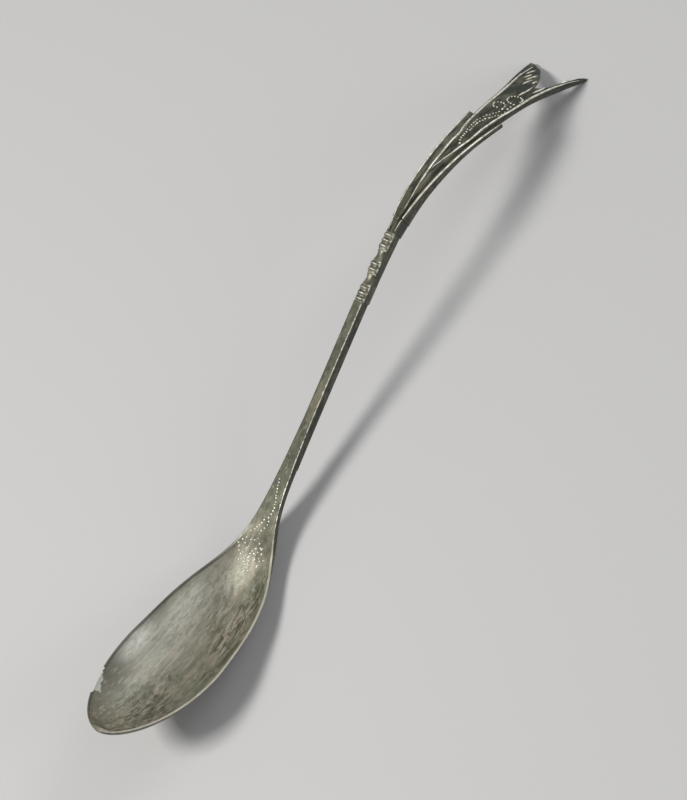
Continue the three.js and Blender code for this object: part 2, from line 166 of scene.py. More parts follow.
# %% The line and points beside it
REST_PITCH = math.radians(20.9245)
LINE_TIP = (-54.864, 27.898)
LINE_START_SLOPE = -11
LINE_RUNS = [(57, 8), (15, 47), (14, 40), (49.3, 40), (19.3, 32.5), (15, 8.5), (21, -7.5), (46, -22.5)]


def line_at(distance):
    """Place (x, z) in mm and slope in radians of the top line."""
    x, z = LINE_TIP
    start = math.radians(LINE_START_SLOPE) - REST_PITCH
    left = distance
    for length, end_slope in LINE_RUNS:
        end = math.radians(end_slope) - REST_PITCH
        part = min(left, length)
        turned = start + (end - start) * part / length
        half = (turned - start) / 2
        chord = part if abs(half) < 1e-9 else part * math.sin(half) / half
        x += chord * math.cos((start + turned) / 2)
        z += chord * math.sin((start + turned) / 2)
        left -= part
        start = turned
        if left <= 0:
            break
    return x + left * math.cos(start), z + left * math.sin(start), start


def spot(distance, left, above):
    """A point in metres, given along, beside and above the top line in millimetres."""
    x, z, slope = line_at(distance)
    return Vector((x - math.sin(slope) * above, left, z + math.cos(slope) * above)) * MM


print("finial ends near", [round(v * 1000, 1) for v in spot(236.6, 0, 0)], "mm")

# %% [markdown]
# ## Copies that can be refined
# A CAD node stays as it is, because it is the measured model. A copy of its mesh is welded, its
# triangles are paired into quads again, and it can then be rounded with a Subdivision Surface. Edges
# that are sharp on the metal are creased first so that they stay crisp.

# %% Copy, weld, crease and round
def only(piece):
    """Makes one object the only selected and active one."""
    bpy.ops.object.select_all(action="DESELECT")
    piece.select_set(True)
    bpy.context.view_layer.objects.active = piece


def welded_copy(node, name):
    """A copy of a CAD node's mesh with its doubles merged and its quads restored."""
    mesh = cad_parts[node].data.copy()
    mesh.materials.clear()
    piece = bpy.data.objects.new(name, mesh)
    mesh.name = name
    bpy.context.scene.collection.objects.link(piece)
    only(piece)
    bpy.ops.mesh.customdata_custom_splitnormals_clear()
    bpy.ops.object.mode_set(mode="EDIT")
    bpy.ops.mesh.select_all(action="SELECT")
    bpy.ops.mesh.remove_doubles(threshold=0.002 * MM)
    bpy.ops.mesh.tris_convert_to_quads(face_threshold=math.radians(30), shape_threshold=math.radians(50))
    bpy.ops.object.mode_set(mode="OBJECT")
    return piece


def crease_sharp(piece, degrees, value):
    """Creases the edges that turn by more than an angle."""
    only(piece)
    bpy.ops.object.mode_set(mode="EDIT")
    bpy.ops.mesh.select_mode(type="EDGE")
    bpy.ops.mesh.select_all(action="DESELECT")
    bpy.ops.mesh.edges_select_sharp(sharpness=math.radians(degrees))
    bpy.ops.transform.edge_crease(value=value)
    bpy.ops.mesh.select_mode(type="VERT")
    bpy.ops.object.mode_set(mode="OBJECT")


def apply_modifier(piece, kind, **settings):
    """Adds a modifier with its settings and applies it."""
    only(piece)
    made = piece.modifiers.new(kind.title(), kind)
    for key, value in settings.items():
        setattr(made, key, value)
    bpy.ops.object.modifier_apply(modifier=made.name)


def round_off(piece, levels):
    """Rounds a piece with a Subdivision Surface."""
    apply_modifier(piece, "SUBSURF", levels=levels, render_levels=levels)


def end_points(piece, distance):
    """Numbers of the points in a piece's flat end at a distance along the top line."""
    x, z, slope = line_at(distance)
    along = Vector((math.cos(slope), 0, math.sin(slope)))
    foot = Vector((x, 0, z))
    return {v.index for v in piece.data.vertices if abs((v.co / MM - foot).dot(along)) < 0.08}


def stretch_end(piece, distance, by):
    """Moves a piece's flat end along the top line, to close the solder gap, and keeps it crisp."""
    slope = line_at(distance)[2]
    found = end_points(piece, distance)
    only(piece)
    for v in piece.data.vertices:
        v.select = v.index in found
    for e in piece.data.edges:
        e.select = all(i in found for i in e.vertices)
    for p in piece.data.polygons:
        p.select = all(i in found for i in p.vertices)
    bpy.ops.object.mode_set(mode="EDIT")
    if by:
        bpy.ops.transform.translate(value=Vector((math.cos(slope), 0, math.sin(slope))) * by * MM)
    bpy.ops.transform.edge_crease(value=1.0)
    bpy.ops.object.mode_set(mode="OBJECT")
    print(piece.name, "end at", distance, "mm has", len(found), "points")


# %% [markdown]
# ## Marks that the finishes read
# Old silver stays dark in its hollows and is rubbed bright on its ridges; its sides and undersides are
# given darker tarnish mixed with painted shade. So each finished mesh gets three marks on its points: where
# it lies along and beside the top line, how strongly it curves outwards, and how squarely it faces up from
# the line. The shaders read them as attributes, and they travel with the mesh.

# %% Lay, ridge and up marks
LINE_SAMPLES = np.arange(-3, 246, 0.25)
LINE_TABLE = np.array([line_at(max(d, 0)) for d in LINE_SAMPLES])
SHARPEST_RIDGE = 6.0
POINTS_AT_ONCE = 4000


def put_mark(mesh, name, kind, values):
    """Stores one value or vector for every point of a mesh."""
    attribute = mesh.attributes.new(name, kind, "POINT")
    field = "vector" if kind == "FLOAT_VECTOR" else "value"
    attribute.data.foreach_set(field, values.astype(np.float32).ravel())


def lay_of(points):
    """Along, left and above in mm, and the line's slope, for points in mm."""
    lay = np.empty((len(points), 4))
    for first in range(0, len(points), POINTS_AT_ONCE):
        part = points[first:first + POINTS_AT_ONCE]
        run = part[:, None, 0] - LINE_TABLE[None, :, 0]
        rise = part[:, None, 2] - LINE_TABLE[None, :, 1]
        nearest = (run ** 2 + rise ** 2).argmin(1)
        near = LINE_TABLE[nearest]
        dx, dz = part[:, 0] - near[:, 0], part[:, 2] - near[:, 1]
        c, s = np.cos(near[:, 2]), np.sin(near[:, 2])
        lay[first:first + POINTS_AT_ONCE] = np.stack(
            (LINE_SAMPLES[nearest] + dx * c + dz * s, part[:, 1], dz * c - dx * s, near[:, 2]), axis=1)
    return lay


def mark_surface(piece):
    """Adds the attributes lay (along, left, above, in mm), ridge (bend, in 1/mm) and up (-1 to 1)."""
    mesh = piece.data
    count = len(mesh.vertices)
    points = np.empty(count * 3)
    mesh.vertices.foreach_get("co", points)
    points = points.reshape(-1, 3) / MM
    lay = lay_of(points)
    normals = np.empty(count * 3)
    mesh.vertices.foreach_get("normal", normals)
    normals = normals.reshape(-1, 3)
    up = normals[:, 2] * np.cos(lay[:, 3]) - normals[:, 0] * np.sin(lay[:, 3])
    ends = np.empty(len(mesh.edges) * 2, dtype=np.int64)
    mesh.edges.foreach_get("vertices", ends)
    a, b = ends.reshape(-1, 2).T
    step = points[a] - points[b]
    length = np.linalg.norm(step, axis=1) + 1e-6
    bend = (step * (normals[a] - normals[b])).sum(1) / length ** 2
    total = np.zeros(count)
    share = np.zeros(count)
    for ends_of in (a, b):
        np.add.at(total, ends_of, bend * length)
        np.add.at(share, ends_of, length)
    ridge = np.clip(total / np.maximum(share, 1e-6), -SHARPEST_RIDGE, SHARPEST_RIDGE)
    put_mark(mesh, "lay", "FLOAT_VECTOR", lay[:, :3])
    put_mark(mesh, "ridge", "FLOAT", ridge)
    put_mark(mesh, "up", "FLOAT", up)
    print(piece.name, "points", count, "sharpest ridge", round(float(ridge.max()), 2))
    return lay, up


# %% [markdown]
# ## Silver that has darkened with age
# Silver tarnishes to a grey, then olive and near-black layer of silver sulphide. It dulls the mirror of
# the bare metal, so dark areas are less metallic and rougher. The layer is patchy: stains from under a
# millimetre to some centimetres across, drawn out along the spoon where it was hammered and wiped. Each
# finish is built in layers: a ground tone, stains laid over it, dark hollows, sides darkened with tarnish
# and painted shade, and ridges rubbed back to bright metal, which reads as a creamy white.

# %% Start a silver finish
def start_silver(name):
    """A new material with the marks ready as sockets."""
    material, tree, shader = new_material(name)
    silver = {"material": material, "tree": tree, "shader": shader}
    silver["lay"] = add_node(tree, "ShaderNodeAttribute", attribute_name="lay").outputs["Vector"]
    silver["ridge"] = add_node(tree, "ShaderNodeAttribute", attribute_name="ridge").outputs["Fac"]
    silver["up"] = add_node(tree, "ShaderNodeAttribute", attribute_name="up").outputs["Fac"]
    parts = add_node(tree, "ShaderNodeSeparateXYZ", {0: silver["lay"]}).outputs
    silver["along"], silver["left"], silver["above"] = parts[0], parts[1], parts[2]
    return silver


# %% Stains
def stain(silver, below, tone, size, edge, soft, strength, where=None, seed=0.0):
    """Stains part of a surface: size is (along, across) in mm, edge the noise value where it starts."""
    tree = silver["tree"]
    scale = (1 / size[0], 1 / size[1], 1 / size[1])
    drawn = add_node(tree, "ShaderNodeVectorMath", {0: silver["lay"], 1: scale, 2: (seed, seed, seed)},
                     operation="MULTIPLY_ADD").outputs[0]
    noise = add_node(tree, "ShaderNodeTexNoise", {"Vector": drawn, "Scale": 1.0, "Detail": 5.0,
                                                  "Roughness": 0.6, "Distortion": 0.3}).outputs["Fac"]
    mask = add_node(tree, "ShaderNodeMapRange",
                    {"Value": noise, "From Min": edge - soft, "From Max": edge + soft, "To Max": strength},
                    interpolation_type="SMOOTHSTEP").outputs["Result"]
    if where is not None:
        mask = add_node(tree, "ShaderNodeMath", {0: mask, 1: where}, operation="MULTIPLY").outputs[0]
    return add_node(tree, "ShaderNodeMix", {0: mask, 6: below, 7: tone}, data_type="RGBA").outputs[2]


# %% Dark hollows, worn ridges and surface texture
def finish_silver(silver, tone, dark, bright, side_tarnish_and_shade, wear_from, wear_to, roughness, metal, hammer,
                  line=None):
    """Darkens hollows, darkens the sides with tarnish and painted shade, rubs ridges bright, lets a given
    painted highlight line show as bright, and sets gloss and relief.
    """
    tree, shader = silver["tree"], silver["shader"]
    fine = add_node(tree, "ShaderNodeTexNoise", {"Vector": silver["lay"], "Scale": 1.7, "Detail": 5.0,
                                                 "Roughness": 0.7}).outputs["Fac"]
    hollow = add_node(tree, "ShaderNodeMapRange", {"Value": silver["ridge"], "From Min": -0.15,
                                                   "From Max": -1.2, "To Max": 0.85}).outputs["Result"]
    below = add_node(tree, "ShaderNodeMix", {0: hollow, 6: tone, 7: dark}, data_type="RGBA").outputs[2]
    # Tone of the sides: dark tarnish stains that also stand in for painted shade on faces turned from the
    # light.
    flank_tarnish_and_shade = stain(silver, linear("#3C3E33"), linear("#5E5C4B"), (7.0, 1.6), 0.52, 0.07, 0.8, None, 11.3)
    flank_tarnish_and_shade = stain(silver, flank_tarnish_and_shade, linear("#23251D"), (2.6, 0.9), 0.52, 0.06, 0.8, None, 12.9)
    flank_tarnish_and_shade = stain(silver, flank_tarnish_and_shade, linear("#8D8A78"), (3.0, 0.35), 0.63, 0.04, 0.6, None, 14.6)
    below = add_node(tree, "ShaderNodeMix", {0: side_tarnish_and_shade, 6: below, 7: flank_tarnish_and_shade},
                     data_type="RGBA").outputs[2]
    ragged = add_node(tree, "ShaderNodeMath", {0: fine, 1: 1.6, 2: -0.8},
                      operation="MULTIPLY_ADD").outputs[0]
    height = add_node(tree, "ShaderNodeMath", {0: silver["ridge"], 1: ragged}, operation="ADD").outputs[0]
    high = add_node(tree, "ShaderNodeMapRange", {"Value": height, "From Min": wear_from,
                                                 "From Max": wear_to}).outputs["Result"]
    sheltered = add_node(tree, "ShaderNodeMath", {0: side_tarnish_and_shade, 1: -0.8, 2: 1.0},
                         operation="MULTIPLY_ADD").outputs[0]
    worn = add_node(tree, "ShaderNodeMath", {0: high, 1: sheltered}, operation="MULTIPLY").outputs[0]
    # A painted highlight line, if given, shows as bright as worn metal.
    if line is not None:
        worn = add_node(tree, "ShaderNodeMath", {0: worn, 1: line}, operation="MAXIMUM").outputs[0]
    colour = add_node(tree, "ShaderNodeMix", {0: worn, 6: below, 7: bright}, data_type="RGBA").outputs[2]
    tree.links.new(colour, shader.inputs["Base Color"])
    dull = add_node(tree, "ShaderNodeMapRange", {"Value": fine, "From Min": 0.3, "From Max": 0.7,
                                                 "To Min": roughness + 0.08,
                                                 "To Max": roughness - 0.05}).outputs["Result"]
    gloss = add_node(tree, "ShaderNodeMix", {0: worn, 2: dull, 3: 0.38}).outputs[0]
    tree.links.new(gloss, shader.inputs["Roughness"])
    bare = add_node(tree, "ShaderNodeMix", {0: worn, 2: metal, 3: 0.25}).outputs[0]
    bare = add_node(tree, "ShaderNodeMix", {0: side_tarnish_and_shade, 2: bare, 3: 0.25}).outputs[0]
    tree.links.new(bare, shader.inputs["Metallic"])
    dents = add_node(tree, "ShaderNodeTexNoise", {"Vector": silver["lay"], "Scale": 0.22,
                                                  "Detail": 1.0}).outputs["Fac"]
    relief = add_node(tree, "ShaderNodeMath", {0: dents, 1: hammer, 2: fine},
                      operation="MULTIPLY_ADD").outputs[0]
    bumped = add_node(tree, "ShaderNodeBump", {"Height": relief, "Strength": 1.0, "Distance": 0.03 * MM})
    tree.links.new(bumped.outputs["Normal"], shader.inputs["Normal"])
    return worn


def mark_arris(piece, lay, up):
    """Adds the attribute arris: how far a point lies, in mm, to the left of the top's right corner."""
    places = np.arange(np.floor(lay[:, 0].min()), np.ceil(lay[:, 0].max()) + 1)
    top = (up > 0.35) & (lay[:, 2] > -0.6)
    edge = np.array([lay[top & (np.abs(lay[:, 0] - p) < 1.0), 1].min(initial=0.0) for p in places])
    put_mark(piece.data, "arris", "FLOAT", lay[:, 1] - np.interp(lay[:, 0], places, edge))
    print(piece.name, "right corner at", round(float(edge[len(edge) // 2]), 2), "mm")


print("silver finishes start from", [round(c, 2) for c in linear("#EFEADB")[:3]])

# %% [markdown]
# ## Finish of the bowl and the stem
# The bowl and the stem look like one run of metal, so they share one set of stains that runs on across
# the seam between their two meshes. Only the ground changes, from the bowl's pale satin grey to the
# stem's olive grey, over the two centimetres of the neck.

# %% Painted highlight on the right corner
def arris_highlight(silver, where, share):
    """How strongly a painted highlight lies along the top's right corner: a broken line, like worn metal,
    about a third of a millimetre wide.
    """
    tree = silver["tree"]
    arris = add_node(tree, "ShaderNodeAttribute", attribute_name="arris").outputs["Fac"]
    corner = add_node(tree, "ShaderNodeCombineXYZ", {0: arris, 1: silver["above"]}).outputs[0]
    off_corner = add_node(tree, "ShaderNodeVectorMath", {0: corner}, operation="LENGTH").outputs["Value"]
    highlight_breaks = add_node(tree, "ShaderNodeTexNoise", {"Vector": silver["lay"], "Scale": 0.9,
                                                  "Detail": 4.0}).outputs["Fac"]
    line_width = add_node(tree, "ShaderNodeMath", {0: highlight_breaks, 1: 0.55, 2: -0.06},
                          operation="MULTIPLY_ADD").outputs[0]
    past_line = add_node(tree, "ShaderNodeMath", {0: line_width, 1: off_corner},
                         operation="SUBTRACT").outputs[0]
    line = add_node(tree, "ShaderNodeMapRange", {"Value": past_line, "From Min": 0.0, "From Max": 0.12,
                                                 "To Max": share}).outputs["Result"]
    return add_node(tree, "ShaderNodeMath", {0: line, 1: where}, operation="MULTIPLY").outputs[0]


# %% Shared stains of bowl and stem, and painted reflection and shade on the bowl's left wall
# Painted reflection and painted shade on the bowl's left wall, two pale and one dark: centre and reach
# (along, left) in mm, tone and share.
WALL_REFLECTION_AND_SHADE = [((31.5, 12.3), (11, 3.6), "#F0F0E8", 0.95), ((20, 9.3), (10, 4.2), "#77766B", 0.85),
                ((48, 9.0), (14, 4.0), "#D2D3CA", 0.5)]


def body_silver(name, side_from, side_to):
    """Silver of the bowl, neck and stem; the sides take darker tarnish and painted shade where up falls
    from side_from to side_to, and the bowl's underside takes some of both.
    """
    silver = start_silver(name)
    tree = silver["tree"]
    right = add_node(tree, "ShaderNodeMapRange", {"Value": silver["left"], "From Min": 8.0,
                                                  "From Max": -4.0, "To Min": 0.25}).outputs["Result"]
    tip = add_node(tree, "ShaderNodeMapRange", {"Value": silver["along"], "From Min": 20.0,
                                                "From Max": 2.0}).outputs["Result"]
    tone = add_node(tree, "ShaderNodeMix", {0: right, 6: linear("#ABACA2"), 7: linear("#8E8B7A")},
                    data_type="RGBA").outputs[2]
    tone = add_node(tree, "ShaderNodeMix", {0: tip, 6: tone, 7: linear("#6C684F")},
                    data_type="RGBA").outputs[2]
    # Painted reflection near the rim, with painted shade beneath it.
    for centre, reach, painted_light_tone, share in WALL_REFLECTION_AND_SHADE:
        offset = add_node(tree, "ShaderNodeVectorMath", {0: silver["lay"], 1: (*centre, 0)},
                          operation="SUBTRACT").outputs[0]
        offset = add_node(tree, "ShaderNodeVectorMath", {0: offset, 1: (1 / reach[0], 1 / reach[1], 0)},
                          operation="MULTIPLY").outputs[0]
        far = add_node(tree, "ShaderNodeVectorMath", {0: offset}, operation="LENGTH").outputs["Value"]
        near = add_node(tree, "ShaderNodeMapRange",
                        {"Value": far, "From Min": 1.0, "From Max": 0.1, "To Max": share},
                        interpolation_type="SMOOTHSTEP").outputs["Result"]
        tone = add_node(tree, "ShaderNodeMix", {0: near, 6: tone, 7: linear(painted_light_tone)},
                        data_type="RGBA").outputs[2]
    cluster = add_node(tree, "ShaderNodeTexNoise", {"Vector": silver["lay"], "Scale": 0.07,
                                                    "Detail": 2.0}).outputs["Fac"]
    cluster = add_node(tree, "ShaderNodeMapRange", {"Value": cluster, "From Min": 0.42, "From Max": 0.56,
                                                    "To Min": 0.3}).outputs["Result"]
    cluster = add_node(tree, "ShaderNodeMath", {0: cluster, 1: right}, operation="MULTIPLY").outputs[0]
    tone = stain(silver, tone, linear("#ADA493"), (20.0, 6.0), 0.49, 0.07, 0.85, right, 3.1)
    tone = stain(silver, tone, linear("#7B7E6C"), (10.0, 3.6), 0.52, 0.08, 0.8, right, 7.7)
    tone = stain(silver, tone, linear("#56523F"), (3.8, 1.1), 0.52, 0.05, 0.85, cluster, 1.3)
    tone = stain(silver, tone, linear("#4C503F"), (1.6, 0.7), 0.55, 0.04, 0.85, cluster, 9.2)
    tone = stain(silver, tone, linear("#C6C3B8"), (60.0, 0.6), 0.60, 0.05, 0.45, None, 5.5)
    olive = stain(silver, linear("#4A4C3D"), linear("#5E5D4B"), (7.0, 2.4), 0.50, 0.06, 0.8, None, 2.2)
    olive = stain(silver, olive, linear("#363A2E"), (2.6, 1.0), 0.53, 0.08, 0.8, None, 4.8)
    olive = stain(silver, olive, linear("#86846F"), (1.3, 0.5), 0.61, 0.04, 0.6, None, 6.6)
    warm_from = add_node(tree, "ShaderNodeMapRange", {"Value": silver["along"], "From Min": 102.0,
                                                      "From Max": 109.0}).outputs["Result"]
    warm_to = add_node(tree, "ShaderNodeMapRange", {"Value": silver["along"], "From Min": 122.0,
                                                    "From Max": 116.0}).outputs["Result"]
    warm = add_node(tree, "ShaderNodeMath", {0: warm_from, 1: warm_to}, operation="MULTIPLY").outputs[0]
    olive = stain(silver, olive, linear("#6F6A57"), (6.0, 2.0), 0.46, 0.06, 0.75, warm, 0.4)
    neck_noise = add_node(tree, "ShaderNodeTexNoise", {"Vector": silver["lay"], "Scale": 0.3,
                                                       "Detail": 4.0}).outputs["Fac"]
    neck_place = add_node(tree, "ShaderNodeMath", {0: neck_noise, 1: 26.0, 2: silver["along"]},
                          operation="MULTIPLY_ADD").outputs[0]
    handle = add_node(tree, "ShaderNodeMapRange", {"Value": neck_place, "From Min": 76.0,
                                                   "From Max": 94.0}).outputs["Result"]
    tone = add_node(tree, "ShaderNodeMix", {0: handle, 6: tone, 7: olive}, data_type="RGBA").outputs[2]
    bar = add_node(tree, "ShaderNodeMapRange", {"Value": silver["along"], "From Min": 60.0,
                                                "From Max": 70.0}).outputs["Result"]
    # The stem's sides and the bowl's underside are darkened: tarnish mixed with painted shade.
    side = add_node(tree, "ShaderNodeMapRange", {"Value": silver["up"], "From Min": side_from,
                                                 "From Max": side_to}).outputs["Result"]
    under = add_node(tree, "ShaderNodeMapRange", {"Value": silver["up"], "From Min": 0.05,
                                                  "From Max": -0.25, "To Max": 0.55}).outputs["Result"]
    side_tarnish_and_shade = add_node(tree, "ShaderNodeMix", {0: bar, 2: under, 3: side}).outputs[0]
    silver["bar"] = bar
    # The stem's right corner gets a painted highlight line.
    silver["line"] = arris_highlight(silver, bar, 0.75)
    return silver, tone, side_tarnish_and_shade


# %% Bowl finish, with a painted highlight and painted shade on its rim, and its flaked edge
silver, tone, side_tarnish_and_shade = body_silver("grey hammered silver of the bowl", 0.62, 0.25)
tree = silver["tree"]
flake = add_node(tree, "ShaderNodeAttribute", attribute_name="flake").outputs["Fac"]
flake_noise = add_node(tree, "ShaderNodeTexNoise", {"Vector": silver["lay"], "Scale": 1.1,
                                                    "Detail": 5.0}).outputs["Fac"]
flake_edge = add_node(tree, "ShaderNodeMath", {0: flake_noise, 1: 1.6, 2: flake},
                      operation="MULTIPLY_ADD").outputs[0]
flaked = add_node(tree, "ShaderNodeMapRange", {"Value": flake_edge, "From Min": 0.78,
                                               "From Max": 0.95}).outputs["Result"]
tone = add_node(tree, "ShaderNodeMix", {0: flaked, 6: tone, 7: linear("#E4E6DE")},
                data_type="RGBA").outputs[2]
# Painted highlight along the rim's right side.
rim = add_node(tree, "ShaderNodeMapRange", {"Value": silver["above"], "From Min": -0.45,
                                            "From Max": -0.1}).outputs["Result"]
rim_end = add_node(tree, "ShaderNodeMath", {0: rim, 1: silver["bar"]}, operation="SUBTRACT",
                   use_clamp=True).outputs[0]
rim_side = add_node(tree, "ShaderNodeMapRange", {"Value": silver["left"], "From Min": 4.0, "From Max": -4.0,
                                                 "To Min": 0.0, "To Max": 0.55}).outputs["Result"]
rim_painted_highlight = add_node(tree, "ShaderNodeMath", {0: rim_end, 1: rim_side}, operation="MULTIPLY").outputs[0]
tone = add_node(tree, "ShaderNodeMix", {0: rim_painted_highlight, 6: tone, 7: linear("#E2DECF")},
                data_type="RGBA").outputs[2]
# Painted shade along the rim's left side, kept off the flaked strip.
left_half = add_node(tree, "ShaderNodeMapRange", {"Value": silver["left"], "From Min": 1.0, "From Max": 7.0,
                                                  "To Max": 0.8}).outputs["Result"]
unflaked = add_node(tree, "ShaderNodeMath", {0: left_half, 1: flaked}, operation="SUBTRACT",
                    use_clamp=True).outputs[0]
rim_painted_shade = add_node(tree, "ShaderNodeMath", {0: rim_end, 1: unflaked}, operation="MULTIPLY").outputs[0]
tone = add_node(tree, "ShaderNodeMix", {0: rim_painted_shade, 6: tone, 7: linear("#4E4F45")},
                data_type="RGBA").outputs[2]
worked_from = add_node(tree, "ShaderNodeMapRange", {"Value": silver["above"], "From Min": -1.35,
                                                    "From Max": -1.1}).outputs["Result"]
worked_to = add_node(tree, "ShaderNodeMapRange", {"Value": silver["above"], "From Min": -0.8,
                                                  "From Max": -1.05}).outputs["Result"]
worked = add_node(tree, "ShaderNodeMath", {0: worked_from, 1: worked_to}, operation="MULTIPLY").outputs[0]
right_half = add_node(tree, "ShaderNodeMapRange", {"Value": silver["left"], "From Min": -2.0,
                                                   "From Max": -8.0}).outputs["Result"]
worked = add_node(tree, "ShaderNodeMath", {0: worked, 1: right_half}, operation="MULTIPLY").outputs[0]
tone = stain(silver, tone, linear("#C9C6B6"), (2.0, 0.6), 0.45, 0.05, 0.55, worked, 2.6)
finish_silver(silver, tone, linear("#3A3C31"), linear("#EFEADB"), side_tarnish_and_shade, 3.4, 5.2, 0.5, 0.42, 2.0,
              silver["line"])
bowl_silver = silver["material"]

# %% Stem finish
silver, tone, side_tarnish_and_shade = body_silver("olive tarnished silver of the stem", 0.62, 0.25)
finish_silver(silver, tone, linear("#33352A"), linear("#EFEADB"), side_tarnish_and_shade, 3.4, 5.2, 0.58, 0.3, 0.4,
              silver["line"])
stem_silver = silver["material"]

# %% [markdown]
# ## Finish of the collar and the finial
# The collar is held most, so its ridges are rubbed bright and its grooves are black. The finial is the
# darkest part, a green-black tarnish in the field between the ribs, which hands don't reach.

# %% Collar finish
silver = start_silver("rubbed silver of the collar")
tree = silver["tree"]
tone = stain(silver, linear("#6A6A5D"), linear("#8D8979"), (2.0, 1.2), 0.50, 0.08, 0.9, None, 1.7)
tone = stain(silver, tone, linear("#4B4C3F"), (1.4, 0.8), 0.54, 0.06, 0.8, None, 6.1)
# The collar's sides get darker tarnish mixed with painted shade.
side = add_node(tree, "ShaderNodeMapRange", {"Value": silver["up"], "From Min": 0.45,
                                             "From Max": 0.05}).outputs["Result"]
silver["above"] = add_node(tree, "ShaderNodeMath", {0: silver["above"], 1: 0.35},
                           operation="MULTIPLY").outputs[0]
# The collar's right corners get a painted highlight line.
line = arris_highlight(silver, 1.0, 0.7)
finish_silver(silver, tone, linear("#25271E"), linear("#F0EBDC"), side, 1.3, 2.1, 0.42, 0.35, 0.0, line)
collar_silver = silver["material"]

# %% Finial finish
silver = start_silver("blackened silver of the finial")
tree = silver["tree"]
outward = add_node(tree, "ShaderNodeMapRange", {"Value": silver["along"], "From Min": 185.0,
                                                "From Max": 222.0}).outputs["Result"]
tone = add_node(tree, "ShaderNodeMix", {0: outward, 6: linear("#5A5B4D"), 7: linear("#2C342A")},
                data_type="RGBA").outputs[2]
tone = stain(silver, tone, linear("#706D5B"), (8.0, 1.6), 0.52, 0.08, 0.7, None, 2.9)
tone = stain(silver, tone, linear("#2B2F24"), (4.0, 1.2), 0.53, 0.07, 0.8, None, 8.3)
# The finial's sides get darker tarnish mixed with painted shade.
side = add_node(tree, "ShaderNodeMapRange", {"Value": silver["up"], "From Min": 0.5,
                                             "From Max": 0.1}).outputs["Result"]
finish_silver(silver, tone, linear("#23261D"), linear("#E9E4D4"), side, 1.8, 3.2, 0.46, 0.4, 0.0)
finial_silver = silver["material"]

# %% Bright worn silver
# Bare silver on high spots: creamy white, softly glossy from many fine scratches.
rubbed_silver, tree, shader = new_material("bright worn silver")
rub_place = add_node(tree, "ShaderNodeTexCoord").outputs["Object"]
rub = add_node(tree, "ShaderNodeTexNoise", {"Vector": rub_place, "Scale": 1 / (1.6 * MM),
                                            "Detail": 4.0}).outputs["Fac"]
rub_share = add_node(tree, "ShaderNodeMapRange", {"Value": rub, "From Min": 0.38,
                                                  "From Max": 0.56}).outputs["Result"]
rub_tone = add_node(tree, "ShaderNodeMix", {0: rub_share, 6: linear("#C2BDA9"), 7: linear("#F6F2E6")},
                    data_type="RGBA").outputs[2]
tree.links.new(rub_tone, shader.inputs["Base Color"])
rub_gloss = add_node(tree, "ShaderNodeMapRange", {"Value": rub, "From Min": 0.3, "From Max": 0.7,
                                                  "To Min": 0.42, "To Max": 0.3}).outputs["Result"]
tree.links.new(rub_gloss, shader.inputs["Roughness"])
shader.inputs["Metallic"].default_value = 0.35
print("finishes:", [m.name for m in bpy.data.materials])

# %% [markdown]
# ## Bowl
# The bowl was hammered up thin and smooth, with a narrow flat rim. The copy of its
# solid is rounded by subdivision, with the rim's two edges creased. On the left edge near the tip a
# strip of the surface has flaked away, and its distance from the strip's edge is stored as a mark.

# %% Bowl
bowl = welded_copy("bowl", "hammered_bowl")
crease_sharp(bowl, 50, 0.7)
stretch_end(bowl, 90.0, 0)
round_off(bowl, 2)
bowl_lay, bowl_up = mark_surface(bowl)
mark_arris(bowl, bowl_lay, bowl_up)
bowl.data.materials.append(bowl_silver)
only(bowl)
bpy.ops.object.shade_smooth_by_angle(angle=math.radians(40))
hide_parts("bowl")
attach(bowl, "root")

# %% Flaked strip on the rim
FLAKE_OUTLINE = np.array([(21, 14.4), (21, 12.9), (18.4, 11.7), (15.9, 10.5), (14, 9.4), (12.8, 8.7),
                          (11.5, 9.3), (9.6, 9.5), (7.6, 8.5), (7.0, 9.6), (10.9, 11.6), (16, 13.6)])
here = bowl_lay[:, :2]
inside = np.zeros(len(here), dtype=bool)
edge_distance = np.full(len(here), 99.0)
for start, end in zip(FLAKE_OUTLINE, np.roll(FLAKE_OUTLINE, -1, axis=0)):
    side = end - start
    share = np.clip(((here - start) @ side) / (side @ side), 0, 1)
    edge_distance = np.minimum(edge_distance, np.linalg.norm(here - start - share[:, None] * side, axis=1))
    crosses = (start[1] > here[:, 1]) != (end[1] > here[:, 1])
    reach = start[0] + (here[:, 1] - start[1]) / (end[1] - start[1] + 1e-12) * side[0]
    inside ^= crosses & (here[:, 0] < reach)
flake_mark = np.where(inside, edge_distance, -edge_distance)
flake_mark = np.where(bowl_up > -0.2, np.clip(flake_mark, -3, 1), -3.0)
put_mark(bowl.data, "flake", "FLOAT", flake_mark)
print("flaked points", int((flake_mark > 0).sum()))

# %% [markdown]
# ## Stem
# A plain bar with crisp upper edges. A bevel along its length softens them to the width that wear gives
# them, and a grid of cuts gives the marks on its points something to sit on. Its ends are left square,
# because they butt against the neck and the collar.

# %% Stem
stem = welded_copy("stem", "plain_stem")
stretch_end(stem, 90.3, -0.3)
stretch_end(stem, 135.0, 0.3)
butt_ends = end_points(stem, 90.0) | end_points(stem, 135.3)
only(stem)
bpy.ops.object.mode_set(mode="EDIT")
bpy.ops.mesh.select_mode(type="EDGE")
bpy.ops.mesh.select_all(action="DESELECT")
bpy.ops.mesh.edges_select_sharp(sharpness=math.radians(35))
bpy.ops.object.mode_set(mode="OBJECT")
for e in stem.data.edges:
    e.select = e.select and not all(i in butt_ends for i in e.vertices)
bpy.ops.object.mode_set(mode="EDIT")
bpy.ops.mesh.bevel(offset=0.12 * MM, segments=2, affect="EDGES")
bpy.ops.mesh.select_mode(type="VERT")
bpy.ops.mesh.select_all(action="SELECT")
bpy.ops.mesh.subdivide(number_cuts=5)
bpy.ops.object.mode_set(mode="OBJECT")
mark_arris(stem, *mark_surface(stem))
stem.data.materials.append(stem_silver)
only(stem)
